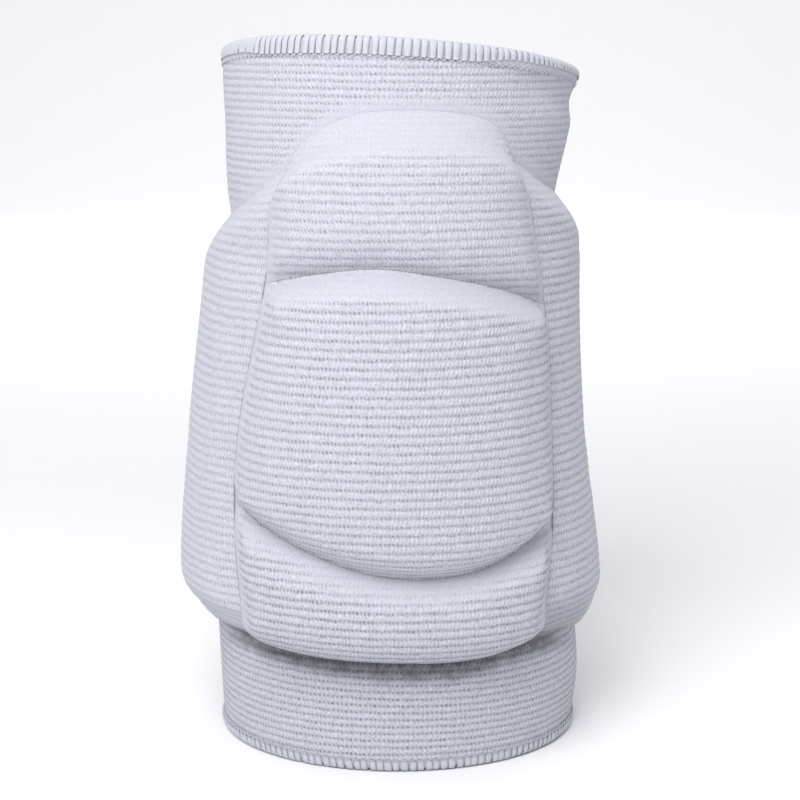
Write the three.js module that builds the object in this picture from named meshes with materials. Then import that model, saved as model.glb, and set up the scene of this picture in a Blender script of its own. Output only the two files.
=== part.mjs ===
// Elbow pad for court sports: a knitted elastic sleeve that the arm goes through,
// an overlocked hem at each end, and five foam pads over its front and sides.
// Millimetres, +Z up. The sleeve stands on its lower hem, with the padded front towards -Y.
import * as THREE from 'three';

// Driving dimensions of the sleeve
const sleeveLength = 199; // lower edge to upper edge, along the sides
const sleeveWidth = 106; // side to side over the cuffs
const sleeveDepth = 80; // front to back over the cuffs
const knitWall = 2.2;

// Hems
const lowerHemHeight = 4.2;
const upperHemHeight = 5.5;
const hemWall = 3.4;
const hemRound = 0.8; // rounding of the edge that the hem rolls over

// Pads: greatest thickness of each, and how far they stand from the sleeve and each other
const upperPadThickness = 11.5;
const middlePadThickness = 15.5;
const lowerPadThickness = 13.5;
const leftPadThickness = 9;
const rightPadThickness = 8.2;
const openEdgeThickness = 1.5; // where a pad runs out on the bare sleeve
const sideSeamThickness = 7.5; // where a side pad meets the front pads
const crossSeamThickness = 7; // where two front pads meet
const padSeat = 0.5; // room between the sleeve and a pad
const seamRoom = 1.1; // room between two pads
const hemRoom = 0.3; // room between the sleeve's cut edge and its hem

// Soft crease where the upper cuff folds outwards, on the right
const creaseDepth = 1.8;
const creaseHeight = 8;

// Fineness of the faceted surfaces
const sleeveColumns = 44;
const padColumns = 14;
const padRows = 13;

// The sleeve's sections: how far the middle lies to the side and back, the half width, the depth
// before and behind the middle, how much higher the front is and how much lower the right side is.
// side and half are shares of sleeveWidth; back, front and rear of sleeveDepth; the rest of sleeveLength.
const sections = [
  { at: 0.0, side: -0.01, back: 0.0, half: 0.5, front: 0.545, rear: 0.44, rise: 0, drop: 0 },
  { at: 0.1, side: -0.006, back: 0.0, half: 0.513, front: 0.55, rear: 0.44, rise: 0, drop: 0 },
  { at: 0.25, side: -0.024, back: 0.0, half: 0.5, front: 0.555, rear: 0.44, rise: 0.001, drop: 0 },
  { at: 0.5, side: -0.036, back: 0.0, half: 0.458, front: 0.555, rear: 0.44, rise: 0.004, drop: 0.002 },
  { at: 0.72, side: -0.025, back: 0.03, half: 0.435, front: 0.545, rear: 0.43, rise: 0.012, drop: 0.006 },
  { at: 0.81, side: -0.028, back: 0.05, half: 0.45, front: 0.535, rear: 0.43, rise: 0.018, drop: 0.009 },
  { at: 0.9, side: -0.012, back: 0.08, half: 0.471, front: 0.525, rear: 0.42, rise: 0.025, drop: 0.012 },
  { at: 0.96, side: -0.003, back: 0.1, half: 0.485, front: 0.52, rear: 0.42, rise: 0.029, drop: 0.014 },
  { at: 1.0, side: -0.001, back: 0.11, half: 0.485, front: 0.52, rear: 0.42, rise: 0.032, drop: 0.016 },
];

// Seams that run up the front, left and right. turn is in degrees from the front, right positive.
const leftSeam = [
  { at: 0.12, turn: -44 },
  { at: 0.23, turn: -45 },
  { at: 0.33, turn: -47.5 },
  { at: 0.42, turn: -48.5 },
  { at: 0.53, turn: -46 },
  { at: 0.64, turn: -41.5 },
  { at: 0.75, turn: -38 },
  { at: 0.84, turn: -36 },
  { at: 0.93, turn: -36 },
];
const rightSeam = [
  { at: 0.12, turn: 41 },
  { at: 0.23, turn: 45.5 },
  { at: 0.33, turn: 51 },
  { at: 0.42, turn: 54 },
  { at: 0.53, turn: 55 },
  { at: 0.64, turn: 53.5 },
  { at: 0.75, turn: 47.5 },
  { at: 0.84, turn: 42 },
  { at: 0.93, turn: 40 },
];
// Back edges of the side pads, round the sides of the arm
const leftBackEdge = [
  { at: 0.0, turn: -106 },
  { at: 0.45, turn: -114 },
  { at: 1.0, turn: -106 },
];
const rightBackEdge = [
  { at: 0.0, turn: 106 },
  { at: 0.45, turn: 114 },
  { at: 1.0, turn: 106 },
];
// Edges that cross the front. across runs from -1 at the pad's left edge to 1 at its right.
const upperPadTop = [
  { across: -1, at: 0.832 },
  { across: -0.88, at: 0.862 },
  { across: -0.6, at: 0.889 },
  { across: -0.3, at: 0.904 },
  { across: 0, at: 0.909 },
  { across: 0.4, at: 0.91 },
  { across: 0.7, at: 0.904 },
  { across: 0.88, at: 0.888 },
  { across: 1, at: 0.858 },
];
const upperSeam = [
  { across: -1, at: 0.689 },
  { across: -0.6, at: 0.706 },
  { across: -0.2, at: 0.715 },
  { across: 0.2, at: 0.706 },
  { across: 0.6, at: 0.69 },
  { across: 1, at: 0.663 },
];
const lowerSeam = [
  { across: -1, at: 0.387 },
  { across: -0.6, at: 0.342 },
  { across: -0.2, at: 0.309 },
  { across: 0.15, at: 0.298 },
  { across: 0.5, at: 0.307 },
  { across: 0.8, at: 0.335 },
  { across: 1, at: 0.364 },
];
const lowerPadBottom = [
  { across: -1, at: 0.185 },
  { across: -0.5, at: 0.181 },
  { across: 0, at: 0.178 },
  { across: 0.5, at: 0.177 },
  { across: 1, at: 0.187 },
];
const leftPadTop = [
  { across: -1, at: 0.69 },
  { across: -0.75, at: 0.738 },
  { across: -0.2, at: 0.766 },
  { across: 0.4, at: 0.787 },
  { across: 1, at: 0.832 },
];
const leftPadBottom = [
  { across: -1, at: 0.205 },
  { across: -0.75, at: 0.17 },
  { across: -0.3, at: 0.167 },
  { across: 0.4, at: 0.179 },
  { across: 1, at: 0.185 },
];
const rightPadTop = [
  { across: -1, at: 0.856 },
  { across: -0.5, at: 0.83 },
  { across: 0.2, at: 0.812 },
  { across: 0.75, at: 0.786 },
  { across: 1, at: 0.735 },
];
const rightPadBottom = [
  { across: -1, at: 0.187 },
  { across: -0.5, at: 0.176 },
  { across: 0.3, at: 0.154 },
  { across: 0.75, at: 0.158 },
  { across: 1, at: 0.195 },
];

// How each edge of a pad comes down: over what width, and to what thickness.
// A full edge bulges like a pillow; the others slope off under the stretched knit.
const openSlope = { width: 12, thickness: openEdgeThickness, full: false };
const openLedge = { width: 9, thickness: openEdgeThickness, full: true };
const sideSlope = { width: 14, thickness: openEdgeThickness, full: false };
const sideLedge = { width: 20, thickness: openEdgeThickness, full: false };
const sideSeam = { width: 10, thickness: sideSeamThickness, full: true };
const crossSeam = { width: 7, thickness: crossSeamThickness, full: true };

const pads = [
  {
    name: 'upper_pad', thickness: upperPadThickness, crown: 1.2, thinnerUp: 0.05,
    left: leftSeam, right: rightSeam, bottom: upperSeam, top: upperPadTop,
    edges: { left: sideSeam, right: sideSeam, bottom: crossSeam, top: openSlope },
  },
  {
    name: 'middle_pad', thickness: middlePadThickness, crown: 2, thinnerUp: 0,
    left: leftSeam, right: rightSeam, bottom: lowerSeam, top: upperSeam,
    edges: { left: sideSeam, right: sideSeam, bottom: crossSeam, top: crossSeam },
  },
  {
    name: 'lower_pad', thickness: lowerPadThickness, crown: 1.2, thinnerUp: 0,
    left: leftSeam, right: rightSeam, bottom: lowerPadBottom, top: lowerSeam,
    edges: { left: sideSeam, right: sideSeam, bottom: openLedge, top: crossSeam },
  },
  {
    name: 'left_side_pad', thickness: leftPadThickness, crown: 0.4, thinnerUp: 0.2,
    left: leftBackEdge, right: leftSeam, bottom: leftPadBottom, top: leftPadTop,
    edges: { left: sideSlope, right: sideSeam, bottom: sideLedge, top: openSlope },
  },
  {
    name: 'right_side_pad', thickness: rightPadThickness, crown: 0.4, thinnerUp: 0.1,
    left: rightSeam, right: rightBackEdge, bottom: rightPadBottom, top: rightPadTop,
    edges: { left: sideSeam, right: sideSlope, bottom: sideLedge, top: openSlope },
  },
];

const knitWhite = { color: 0xe3e4ec, roughness: 0.9, metalness: 0 };
const threadWhite = { color: 0xe8e8ee, roughness: 0.8, metalness: 0 };

// A smooth curve through one column of a table: each row's slope is that of its two neighbours,
// and past the table's ends the last row holds.
function along(rows, key, column, place) {
  const last = rows.length - 1;
  const here = Math.min(Math.max(place, rows[0][key]), rows[last][key]);
  let i = 0;
  while (i < last - 1 && here > rows[i + 1][key]) i += 1;
  const slope = (k) => {
    const before = rows[Math.max(k - 1, 0)];
    const after = rows[Math.min(k + 1, last)];
    return (after[column] - before[column]) / (after[key] - before[key]);
  };
  const span = rows[i + 1][key] - rows[i][key];
  const u = (here - rows[i][key]) / span;
  const start = rows[i][column];
  const end = rows[i + 1][column];
  return (1 + 2 * u) * (1 - u) ** 2 * start + u * (1 - u) ** 2 * span * slope(i)
    + u * u * (3 - 2 * u) * end + u * u * (u - 1) * span * slope(i + 1);
}

const smooth = (u) => {
  const v = Math.min(Math.max(u, 0), 1);
  return v * v * (3 - 2 * v);
};

// How far the knit is drawn in by the crease under the upper hem.
function creaseAt(turn, at) {
  const below = (1 - at) * sleeveLength - upperHemHeight - creaseHeight / 2;
  const upAndDown = 1 - smooth(Math.abs(below) / creaseHeight);
  const degrees = THREE.MathUtils.radToDeg(turn);
  const round = smooth((degrees - 15) / 45) * smooth((125 - degrees) / 30);
  return creaseDepth * upAndDown * round;
}

// A point on the sleeve: turn in radians from the front, at a share of its length,
// lift millimetres out from the outer face of the knit.
function onSleeve(turn, at, lift) {
  const section = (column) => along(sections, 'at', column, at);
  const halfWidth = section('half') * sleeveWidth;
  const depth = section(Math.cos(turn) > 0 ? 'front' : 'rear') * sleeveDepth;
  const outward = new THREE.Vector2(Math.sin(turn) / halfWidth, -Math.cos(turn) / depth).normalize();
  const out = lift - creaseAt(turn, at);
  return new THREE.Vector3(
    section('side') * sleeveWidth + halfWidth * Math.sin(turn) + out * outward.x,
    section('back') * sleeveDepth - depth * Math.cos(turn) + out * outward.y,
    sleeveLength * (at + section('rise') * Math.cos(turn) - section('drop') * Math.sin(turn)),
  );
}

// Makes a geometry from numbered points and the four-sided faces between them.
function fromFaces(points, faces) {
  const geometry = new THREE.BufferGeometry();
  geometry.setFromPoints(points);
  geometry.setIndex(faces.flatMap(([a, b, c, d]) => [a, b, c, a, c, d]));
  return geometry;
}

// A closed loop of section points carried right round the arm. pointAt(column, step) gives a point;
// the steps run clockwise as seen along the way round.
function ringGeometry(columns, steps, pointAt) {
  const points = [];
  const faces = [];
  const index = (i, k) => (i % columns) * steps + (k % steps);
  for (let i = 0; i < columns; i += 1) {
    for (let k = 0; k < steps; k += 1) {
      points.push(pointAt(i, k));
      faces.push([index(i, k), index(i + 1, k), index(i + 1, k + 1), index(i, k + 1)]);
    }
  }
  return fromFaces(points, faces);
}

const columnTurn = (column) => (column / sleeveColumns) * 2 * Math.PI;

// The knitted tube: up its outer face and down its inner one.
function sleeveGeometry() {
  const first = (lowerHemHeight + hemRoom) / sleeveLength;
  const last = 1 - (upperHemHeight + hemRoom) / sleeveLength;
  const inner = sections.map((row) => row.at).filter((at) => at > 0 && at < 1);
  const creaseLevel = 1 - (upperHemHeight + creaseHeight / 2) / sleeveLength;
  const extra = [0.05, 0.17, 0.33, 0.41, 0.61, creaseLevel, creaseLevel - creaseHeight / sleeveLength];
  const levels = [...inner, ...extra].filter((at) => at > first && at < last).sort((a, b) => a - b);
  const heights = [first, ...levels.filter((at, i) => i === 0 || at - levels[i - 1] > 0.004), last];
  const around = [
    ...heights.map((at) => ({ at, lift: 0 })),
    ...heights.map((at) => ({ at, lift: -knitWall })).reverse(),
  ];
  return ringGeometry(sleeveColumns, around.length, (column, k) => (
    onSleeve(columnTurn(column), around[k].at, around[k].lift)));
}

// A hem: thread wound over the cut edge, a little thicker than the knit, rounded at its free edge.
// fromEdge turns a distance in from the sleeve's end into a share of its length.
function hemGeometry(height, fromEdge, reversed) {
  const outside = (hemWall - knitWall) / 2;
  const inside = -knitWall - outside;
  const cut = hemRound * (1 - Math.SQRT1_2);
  const loop = [
    { in: height, lift: outside },
    { in: hemRound, lift: outside },
    { in: cut, lift: outside - cut },
    { in: 0, lift: outside - hemRound },
    { in: 0, lift: inside + hemRound },
    { in: cut, lift: inside + cut },
    { in: hemRound, lift: inside },
    { in: height, lift: inside },
  ];
  if (reversed) loop.reverse();
  return ringGeometry(sleeveColumns, loop.length, (column, k) => (
    onSleeve(columnTurn(column), fromEdge(loop[k].in), loop[k].lift)));
}

// Grid places from -1 to 1, closer together near the edges, where a pad curves most.
const gridPlaces = (count) => Array.from({ length: count + 1 }, (_, i) => {
  const even = (2 * i) / count - 1;
  return (even + Math.sin((even * Math.PI) / 2)) / 2;
});

// Where a pad's grid place lies on the sleeve. Each pad keeps half the seam room from its edges.
function padPlace(pad, across, up) {
  const inset = seamRoom / 2 / sleeveLength;
  const bottom = along(pad.bottom, 'across', 'at', across) + inset;
  const top = along(pad.top, 'across', 'at', across) - inset;
  const at = bottom + ((top - bottom) * (up + 1)) / 2;
  const edgeRoom = THREE.MathUtils.radToDeg(seamRoom / sleeveWidth);
  const left = along(pad.left, 'at', 'turn', at) + edgeRoom;
  const right = along(pad.right, 'at', 'turn', at) - edgeRoom;
  return { turn: THREE.MathUtils.degToRad(left + ((right - left) * (across + 1)) / 2), at };
}

// What an edge takes off the full thickness, this many millimetres in from it.
function edgeDrop(edge, thickness, distance) {
  const u = Math.min(distance / edge.width, 1);
  const rise = edge.full ? Math.sqrt(1 - (1 - u) ** 2) : smooth(u);
  return Math.max(thickness - edge.thickness, 0) * (1 - rise);
}

// A pad's thickness at a grid place, from the distances to its four edges.
function padThickness(pad, across, up) {
  const { turn, at } = padPlace(pad, across, up);
  const point = onSleeve(turn, at, 0);
  const distanceTo = (edgeAcross, edgeUp) => {
    const place = padPlace(pad, edgeAcross, edgeUp);
    return point.distanceTo(onSleeve(place.turn, place.at, 0));
  };
  const full = pad.thickness * (1 - pad.thinnerUp * up) - (pad.crown * (across ** 2 + up ** 2)) / 2;
  const drops = [
    edgeDrop(pad.edges.left, full, distanceTo(-1, up)),
    edgeDrop(pad.edges.right, full, distanceTo(1, up)),
    edgeDrop(pad.edges.bottom, full, distanceTo(across, -1)),
    edgeDrop(pad.edges.top, full, distanceTo(across, 1)),
  ];
  return Math.max(full - Math.cbrt(drops.reduce((sum, drop) => sum + drop ** 3, 0)), openEdgeThickness);
}

// A pad: its domed face, its underside lying on the sleeve, and the narrow wall between them.
function padGeometry(pad) {
  const places = gridPlaces(padColumns);
  const levels = gridPlaces(padRows);
  const points = [];
  const faces = [];
  const row = levels.length;
  const face = (i, j) => 2 * (i * row + j);
  const under = (i, j) => face(i, j) + 1;
  places.forEach((across) => levels.forEach((up) => {
    const { turn, at } = padPlace(pad, across, up);
    points.push(onSleeve(turn, at, padSeat + padThickness(pad, across, up)), onSleeve(turn, at, padSeat));
  }));
  // One wall face under the edge from grid place a to grid place b.
  const wall = (a, b) => faces.push([face(...b), face(...a), under(...a), under(...b)]);
  for (let i = 0; i < padColumns; i += 1) {
    for (let j = 0; j < padRows; j += 1) {
      faces.push([face(i, j), face(i + 1, j), face(i + 1, j + 1), face(i, j + 1)]);
      faces.push([under(i, j + 1), under(i + 1, j + 1), under(i + 1, j), under(i, j)]);
    }
    wall([i, 0], [i + 1, 0]);
    wall([i + 1, padRows], [i, padRows]);
  }
  for (let j = 0; j < padRows; j += 1) {
    wall([0, j + 1], [0, j]);
    wall([padColumns, j], [padColumns, j + 1]);
  }
  return fromFaces(points, faces);
}

function piece(name, geometry, finish) {
  const mesh = new THREE.Mesh(geometry, new THREE.MeshStandardMaterial(finish));
  mesh.name = name;
  return mesh;
}

const elbowPad = new THREE.Group();
elbowPad.add(
  piece('knit_sleeve', sleeveGeometry(), knitWhite),
  piece('lower_hem', hemGeometry(lowerHemHeight, (depth) => depth / sleeveLength, true), threadWhite),
  piece('upper_hem', hemGeometry(upperHemHeight, (depth) => 1 - depth / sleeveLength, false), threadWhite),
);
pads.forEach((pad) => elbowPad.add(piece(pad.name, padGeometry(pad), knitWhite)));

// The origin goes under the middle of the whole, at the lower hem's edge.
const box = new THREE.Box3().setFromObject(elbowPad);
const middle = box.getCenter(new THREE.Vector3());
elbowPad.children.forEach((mesh) => mesh.geometry.translate(-middle.x, -middle.y, -box.min.z));

export default elbowPad;
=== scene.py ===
import math
import bpy
import numpy as np
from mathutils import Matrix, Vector


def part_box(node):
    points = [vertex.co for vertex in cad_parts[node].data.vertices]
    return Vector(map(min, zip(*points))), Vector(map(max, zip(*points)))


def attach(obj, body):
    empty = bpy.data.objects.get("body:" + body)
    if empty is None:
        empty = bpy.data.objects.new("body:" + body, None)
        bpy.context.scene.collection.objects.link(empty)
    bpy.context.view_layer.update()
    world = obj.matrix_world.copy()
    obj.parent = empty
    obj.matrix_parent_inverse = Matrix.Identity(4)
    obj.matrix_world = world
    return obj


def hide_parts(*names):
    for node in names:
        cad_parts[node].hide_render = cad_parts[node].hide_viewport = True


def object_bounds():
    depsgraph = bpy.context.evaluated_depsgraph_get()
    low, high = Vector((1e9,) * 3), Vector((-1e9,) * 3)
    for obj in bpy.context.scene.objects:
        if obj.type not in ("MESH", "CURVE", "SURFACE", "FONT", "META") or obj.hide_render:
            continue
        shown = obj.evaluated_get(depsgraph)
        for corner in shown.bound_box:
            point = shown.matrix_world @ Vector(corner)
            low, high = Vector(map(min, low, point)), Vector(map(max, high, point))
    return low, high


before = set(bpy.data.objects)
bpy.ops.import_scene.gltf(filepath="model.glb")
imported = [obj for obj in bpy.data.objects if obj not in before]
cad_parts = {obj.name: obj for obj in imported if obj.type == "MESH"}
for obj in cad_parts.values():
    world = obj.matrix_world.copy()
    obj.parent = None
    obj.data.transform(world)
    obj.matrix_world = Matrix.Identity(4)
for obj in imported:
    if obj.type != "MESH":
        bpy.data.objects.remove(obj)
cadLow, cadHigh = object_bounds()

# The sleeve's form. One row for each level: height, shift sideways, shift back, half width, depth before
# and behind the middle, rise of the front, drop of the right side. Widths are shares of the sleeve's
# width, depths of its depth, and heights of its length.
sleeveLevels = np.array([
    [0.00, -0.010, 0.00, 0.500, 0.545, 0.44, 0.000, 0.000],
    [0.10, -0.006, 0.00, 0.513, 0.550, 0.44, 0.000, 0.000],
    [0.25, -0.024, 0.00, 0.500, 0.555, 0.44, 0.001, 0.000],
    [0.50, -0.036, 0.00, 0.458, 0.555, 0.44, 0.004, 0.002],
    [0.72, -0.025, 0.03, 0.435, 0.545, 0.43, 0.012, 0.006],
    [0.81, -0.028, 0.05, 0.450, 0.535, 0.43, 0.018, 0.009],
    [0.90, -0.012, 0.08, 0.471, 0.525, 0.42, 0.025, 0.012],
    [0.96, -0.003, 0.10, 0.485, 0.520, 0.42, 0.029, 0.014],
    [1.00, -0.001, 0.11, 0.485, 0.520, 0.42, 0.032, 0.016],
])
frontRise, rightDrop = sleeveLevels[-1, 6:8]


# Smooth curve through the rows of a table: cubic pieces whose slope at a row is the mean slope beside it.
def through(table, place):
    places, values = table[:, 0], table[:, 1:]
    slopes = np.gradient(values, places, axis=0)
    slopes[1:-1] = (values[2:] - values[:-2]) / (places[2:] - places[:-2])[:, None]
    place = np.clip(place, places[0], places[-1])
    i = np.clip(np.searchsorted(places, place, side="right") - 1, 0, len(places) - 2)
    span = (places[i + 1] - places[i])[..., None]
    u = (place - places[i])[..., None] / span
    return (
        (1 + 2 * u) * (1 - u) ** 2 * values[i] + u * (1 - u) ** 2 * span * slopes[i]
        + u * u * (3 - 2 * u) * values[i + 1] + u * u * (u - 1) * span * slopes[i + 1]
    )


# Sizes in metres, read off the frame: the lower hem stands this far out from the knit and gives the rest.
hemOverhang = 0.0006
hemRatio = 5.5 / 4.2  # height of the upper hem to the lower one
hemLow, hemHigh = (np.array(corner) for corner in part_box("lower_hem"))
sleeve = {
    "length": (cadHigh.z - cadLow.z) / (1 + math.hypot(frontRise, rightDrop)),
    "girth": 0.296,  # round the lower cuff
    "wall": 0.0022,
    "loopPitch": 0.00118,  # between the stitches along a rib
    "ribDepth": 0.00018,
    "innerRibDepth": 0.00015,
    "underHem": 0.0006,  # the knit ends this far inside a hem
    "tuckDepth": 0.0014,  # the knit is drawn in along the lower edge of the padding
    "tuckHeight": 0.005,
    "tuckBelow": 0.001,  # deepest this far below the padding's edge
    "tuckTurns": (75, 50),  # degrees where it starts at the sides and is whole
    "pullAbove": 0.007,  # the padding pulls the knit smooth up to this far above it
    "pullBehind": 0.002,
    "ribsPulledFlat": 0.8,
    "wideStretch": 0.25,  # the upper half is wider and so more stretched
    "wideShares": (0.3, 0.7),  # of the length
    "foldAbove": 0.006,  # the painted shade of the fold starts this far up behind the padding's lower edge
    "foldBelow": 0.002,  # and fades from here down, further down in front
    "foldFade": 0.0045,
    "foldDeeper": 0.0035,
    "foldRagged": 0.0007,  # how far its border strays
    "foldSeed": 8,
    "foldShadeStrength": 0.9,
    "creaseDepth": 0.0018,  # the upper cuff folds out above this crease, on the right
    "creaseHeight": 0.008,
    "creaseTurns": (15, 60, 95, 125),  # degrees where it starts, is whole from and to, and ends
    "columns": 168,
    "samplesPerRib": 5,
    "innerSamplesPerRib": 1.3,
}
hemHeight = {"lower": hemHigh[2] - hemLow[2], "upper": (hemHigh[2] - hemLow[2]) * hemRatio}
hemAt = np.array(hemHeight["lower"] / sleeve["length"])
hemSide, hemBack, hemHalf, hemFront, hemRear = through(sleeveLevels, hemAt)[:5]
sleeve["width"] = (hemHigh[0] - hemLow[0] - 2 * hemOverhang) / (2 * hemHalf)
sleeve["depth"] = (hemHigh[1] - hemLow[1] - 2 * hemOverhang) / (hemFront + hemRear)
sleeve["radius"] = (sleeve["width"] + sleeve["depth"]) / 4
sleeveMiddle = np.array([
    (hemLow[0] + hemHigh[0]) / 2 - hemSide * sleeve["width"],
    hemLow[1] + hemOverhang - (hemBack - hemFront) * sleeve["depth"],
])


def easeInOut(u):
    u = np.clip(u, 0, 1)
    return u * u * (3 - 2 * u)


# From 0 at the start to 1 at the end, eased. The start may be the larger of the two.
def ramp(value, start, end):
    return easeInOut((value - start) / (end - start))


# From 0 up to 1, whole for a while, and back to 0.
def rampUpAndDown(value, starts, wholeFrom, wholeTo, ends):
    return ramp(value, starts, wholeFrom) * ramp(value, ends, wholeTo)


# The crease: a smooth bump function of height times one of the turn, deepest on the right.
def creaseAt(turn, at):
    degrees = np.degrees(turn)
    below = (1 - at) * sleeve["length"] - hemHeight["upper"] - sleeve["creaseHeight"] / 2
    upAndDown = 1 - easeInOut(np.abs(below) / sleeve["creaseHeight"])
    return sleeve["creaseDepth"] * upAndDown * rampUpAndDown(degrees, *sleeve["creaseTurns"])


# A point of the sleeve: two half ellipses at each level, tipped, and pushed out level by the lift.
# turn is in radians from the front, right positive, and at is a share of the sleeve's length.
def onSleeve(turn, at, lift):
    turn, at, lift = np.broadcast_arrays(turn, at, lift)
    side, back, half, front, rear, rise, drop = np.moveaxis(through(sleeveLevels, at), -1, 0)
    half = half * sleeve["width"]
    depth = np.where(np.cos(turn) > 0, front, rear) * sleeve["depth"]
    outX, outY = np.sin(turn) / half, -np.cos(turn) / depth
    out = (lift - creaseAt(turn, at)) / np.hypot(outX, outY)
    return np.stack([
        sleeveMiddle[0] + side * sleeve["width"] + half * np.sin(turn) + out * outX,
        sleeveMiddle[1] + back * sleeve["depth"] - depth * np.cos(turn) + out * outY,
        sleeve["length"] * (at + rise * np.cos(turn) - drop * np.sin(turn)),
    ], axis=-1)


# Unit normals of a grid of points: the cross product of its two directions.
def gridNormals(points, closed=False):
    if closed:
        across = np.roll(points, -1, axis=0) - np.roll(points, 1, axis=0)
    else:
        across = np.gradient(points, axis=0)
    normals = np.cross(across, np.gradient(points, axis=1))
    return normals / np.maximum(np.linalg.norm(normals, axis=-1, keepdims=True), 1e-12)


# Ribs counted up from the bottom: the sum of what each small step of height holds. The knit is stretched
# by the padding, so the ribs are further apart there than on the cuffs. Heights in metres.
ribPitches = {
    "height": (0, 0.030, 0.036, 0.160, 0.172, 0.206),
    "pitch": (0.00212, 0.00212, 0.0025, 0.0025, 0.00204, 0.00204),
}
ribWander = 0.25  # how far a rib strays up or down, in ribs
ribWanderSeed = 3
grooveWidth = 0.2  # in ribs
ribHeights = np.linspace(-0.01, 0.22, 1000)
pitchThere = np.interp(ribHeights, ribPitches["height"], ribPitches["pitch"])
ribNumbers = np.cumsum(np.gradient(ribHeights) / pitchThere)


def ribsUpTo(height):
    return np.interp(height, ribHeights, ribNumbers)


# Slow unevenness of hand-fed knitting: a few fixed sine waves over the knit, about -1 to 1.
def unevenness(x, y, seed):
    waves = np.random.default_rng(seed).uniform([20, 20, 0], [110, 110, 6.28], (5, 3))
    return sum(np.sin(wx * x + wy * y + phase) for wx, wy, phase in waves) / 3


# Height of the ribs over the knit, from 0 in a groove to 1 on a rib: a narrow groove at each whole number.
def ribHeight(ribs):
    fromGroove = np.abs((ribs + 0.5) % 1 - 0.5)
    return 1 - np.exp(-((fromGroove / grooveWidth) ** 2))


# Layout of the padding. Each table is a curve over the sleeve: where its rows are heights, the values are
# degrees of turn, and where its rows run from -1 at a pad's left to 1 at its right, they are heights.
leftSeam = np.array([
    [0.12, -44], [0.23, -45], [0.33, -47.5], [0.42, -48.5], [0.53, -46], [0.64, -41.5],
    [0.75, -38], [0.84, -36], [0.93, -36],
])
rightSeam = np.array([
    [0.12, 41], [0.23, 45.5], [0.33, 51], [0.42, 54], [0.53, 55], [0.64, 53.5],
    [0.75, 47.5], [0.84, 42], [0.93, 40],
])
leftBackEdge = np.array([[0, -106], [0.45, -114], [1, -106]])
rightBackEdge = np.array([[0, 106], [0.45, 114], [1, 106]])
upperPadTop = np.array([
    [-1, 0.832], [-0.88, 0.862], [-0.6, 0.889], [-0.3, 0.904], [0, 0.909], [0.4, 0.91], [0.7, 0.904],
    [0.88, 0.888], [1, 0.858],
])
upperSeam = np.array([[-1, 0.689], [-0.6, 0.706], [-0.2, 0.715], [0.2, 0.706], [0.6, 0.69], [1, 0.663]])
lowerSeam = np.array([
    [-1, 0.387], [-0.6, 0.342], [-0.2, 0.309], [0.15, 0.298], [0.5, 0.307], [0.8, 0.335], [1, 0.364],
])
lowerPadBottom = np.array([[-1, 0.185], [-0.5, 0.181], [0, 0.178], [0.5, 0.177], [1, 0.187]])
leftPadTop = np.array([[-1, 0.69], [-0.75, 0.738], [-0.2, 0.766], [0.4, 0.787], [1, 0.832]])
leftPadBottom = np.array([[-1, 0.205], [-0.75, 0.17], [-0.3, 0.167], [0.4, 0.179], [1, 0.185]])
rightPadTop = np.array([[-1, 0.856], [-0.5, 0.83], [0.2, 0.812], [0.75, 0.786], [1, 0.735]])
rightPadBottom = np.array([[-1, 0.187], [-0.5, 0.176], [0.3, 0.154], [0.75, 0.158], [1, 0.195]])

# How an edge of a pad comes down: over what width (at its two ends), to what thickness, and by what form.
openEdge = -0.00034  # an open edge lies flush on the sleeve, below the seat's room
openSlope = {"width": (0.013, 0.013), "thickness": openEdge, "form": "slope"}
backSlope = {"width": (0.016, 0.016), "thickness": openEdge, "form": "slope"}
frontLedge = {"width": (0.009, 0.009), "thickness": openEdge, "form": "bulge"}
leftLedge = {"width": (0.020, 0.012), "thickness": openEdge, "form": "slope"}
rightLedge = {"width": (0.012, 0.020), "thickness": openEdge, "form": "slope"}
sideSeam = {"width": (0.010, 0.010), "thickness": 0.0076, "form": "seam"}
crossSeam = {"width": (0.009, 0.009), "thickness": 0.0074, "form": "seam"}

padding = {
    "loopPitch": 0.00112,
    "ribPitch": 0.0025,
    "ribDepth": 0.0002,
    "seat": 0.0004,  # room between the sleeve and a pad
    "seamRoom": 0.00002,  # from a pad's edge to the seam's middle
    "underside": 0.00002,  # how far off the sleeve a pad's hidden underside lies
    "seamFoot": 0.0072,  # least thickness at a seam, apart from its ends at an open edge
    "seamRounding": 0.06,
    "samplesPerRib": 7,
    "columnPitch": 0.0008,
    "ribFade": 0.002,  # the ribs run out this near to an edge
    "pull": 0.0035,  # the knit is pulled smooth this far from the front pads' side seams
    "pullStrength": 0.9,
    "topSmooth": 0.85,  # how smooth the knit lies on the slopes that face up, where light from above also takes the painted shade of holes and grooves away
    "sideSmooth": 0.4,
    "sideTurns": (50, 80, 88, 106),  # degrees, either way from the front
    "ownRibTurns": (62, 95),  # the ribs join the sleeve's own ones between these
    "shadeTurns": (85, 60),  # the painted shade of the lower edges starts and is whole
}

# each pad's last pair gives the painted shade along its lower edge: how dark, and how far up it reaches
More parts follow.
